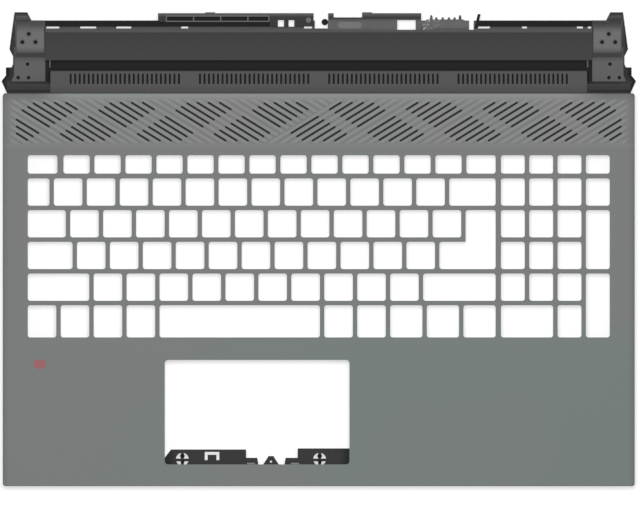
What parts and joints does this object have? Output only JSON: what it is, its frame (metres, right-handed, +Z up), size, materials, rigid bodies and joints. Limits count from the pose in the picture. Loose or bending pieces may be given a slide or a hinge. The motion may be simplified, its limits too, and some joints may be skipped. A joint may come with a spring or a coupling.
{
  "type": "laptop palm rest",
  "caption": "Laptop top case: grey deck with key lattice, slanted vents and touchpad window, and a dark rear shelf with hinge towers, rails and port frames.",
  "frame": {"origin": "middle of the case, on the plane that its side walls stand on", "axes": "+X along the front edge to the right, +Y to the hinges, +Z up out of the deck"},
  "size_m": [0.3576, 0.267, 0.013],
  "materials": {
    "deck": "fine matt texture, grey with a slight green tint",
    "rear_shelf": "dark grey moulded plastic",
    "tower": "dark grey moulded plastic, paler on the pads",
    "rail": "black plastic",
    "port_frame": "black plastic with worn paler edges",
    "fingers": "spring steel sheet",
    "bracket": "black painted sheet",
    "mesh": "black woven dust mesh",
    "insert": "knurled brass",
    "hinge_insert": "blackened brass",
    "screw": "blackened steel"
  },
  "bodies": {
    "root": {"deck_cover": "deck", "rear_shelf": "rear_shelf", "hinge_tower_left": "tower", "hinge_tower_right": "tower", "rear_rail_left": "rail", "rear_rail_right": "rail", "port_frame_left": "port_frame", "port_frame_centre": "port_frame", "ground_fingers": "fingers", "touchpad_bracket": "bracket", "vent_mesh_left": "mesh", "vent_mesh_right": "mesh", "shelf_mesh": "mesh", "hinge_inserts_left": "hinge_insert", "hinge_inserts_right": "hinge_insert", "cover_inserts": "insert", "board_inserts": "insert", "shelf_screws": "screw", "tower_screws": "screw", "bracket_screws": "screw", "ledge_screws": "screw"}
  },
  "joints": []
}
